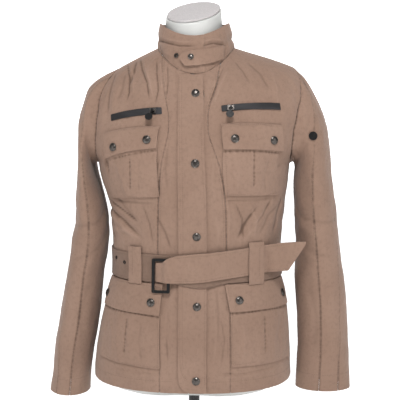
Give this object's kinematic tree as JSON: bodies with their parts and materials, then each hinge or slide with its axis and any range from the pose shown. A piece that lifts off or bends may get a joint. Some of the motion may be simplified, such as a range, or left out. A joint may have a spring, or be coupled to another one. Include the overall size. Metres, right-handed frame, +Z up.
{
  "type": "belted safari jacket on a limbless dress form",
  "caption": "Belted stand-collar safari jacket with flapped bellows pockets and chest zips, worn by a limbless dress form on a pole stand.",
  "frame": {"origin": "centre of the underside of the stand's round base", "axes": "+Z up along the pole, -Y out of the jacket's front, +X towards the wearer's left"},
  "size_m": [0.6157, 0.3, 0.931],
  "materials": {
    "canvas": "matt washed cotton twill",
    "black_metal": "satin black",
    "aged_nickel": "dark polished nickel",
    "zip_tape": "coated black tape",
    "form_shell": "smooth white",
    "neck_cap": "pale grey",
    "stand_metal": "satin black"
  },
  "bodies": {
    "jacket": {"right_side_front": "canvas", "right_front": "canvas", "left_front": "canvas", "left_side_front": "canvas", "back": "canvas", "right_sleeve_front": "canvas", "right_sleeve_strip": "canvas", "right_sleeve_back": "canvas", "left_sleeve_front": "canvas", "left_sleeve_strip": "canvas", "left_sleeve_back": "canvas", "collar": "canvas", "collar_tab": "canvas", "placket": "canvas", "right_chest_pocket": "canvas", "left_chest_pocket": "canvas", "right_hip_pocket": "canvas", "left_hip_pocket": "canvas", "right_chest_flap": "canvas", "left_chest_flap": "canvas", "right_hip_flap": "canvas", "left_hip_flap": "canvas", "belt": "canvas", "belt_end": "canvas", "right_belt_loop": "canvas", "left_belt_loop": "canvas", "placket_snap_1": "aged_nickel", "placket_snap_2": "aged_nickel", "placket_snap_3": "aged_nickel", "placket_snap_4": "aged_nickel", "placket_snap_5": "aged_nickel", "right_chest_snap_1": "aged_nickel", "right_chest_snap_2": "aged_nickel", "left_chest_snap_1": "aged_nickel", "left_chest_snap_2": "aged_nickel", "right_hip_snap_1": "aged_nickel", "right_hip_snap_2": "aged_nickel", "left_hip_snap_1": "aged_nickel", "left_hip_snap_2": "aged_nickel", "collar_tab_snap": "aged_nickel", "collar_stud": "aged_nickel", "belt_eyelet_1": "black_metal", "belt_eyelet_2": "black_metal", "belt_buckle": "black_metal", "right_zip_tape": "zip_tape", "right_zip_slider": "aged_nickel", "left_zip_tape": "zip_tape", "left_zip_slider": "aged_nickel", "left_sleeve_disc": "black_metal", "form_torso": "form_shell", "form_neck_cap": "neck_cap", "stand_pole": "stand_metal", "stand_base": "stand_metal"},
    "pull_right": {"right_zip_pull": "black_metal"},
    "pull_left": {"left_zip_pull": "black_metal"}
  },
  "joints": [
    {"name": "right_pull_swing", "type": "hinge", "parent": "jacket", "child": "pull_right", "pos_m": [-0.07064, -0.11667, 0.71371], "axis": [-0.9917, 0.1289, 0], "range_deg": [0, 100]},
    {"name": "left_pull_swing", "type": "hinge", "parent": "jacket", "child": "pull_left", "pos_m": [0.07373, -0.11762, 0.71917], "axis": [-0.9974, -0.0727, 0], "range_deg": [0, 100]}
  ]
}
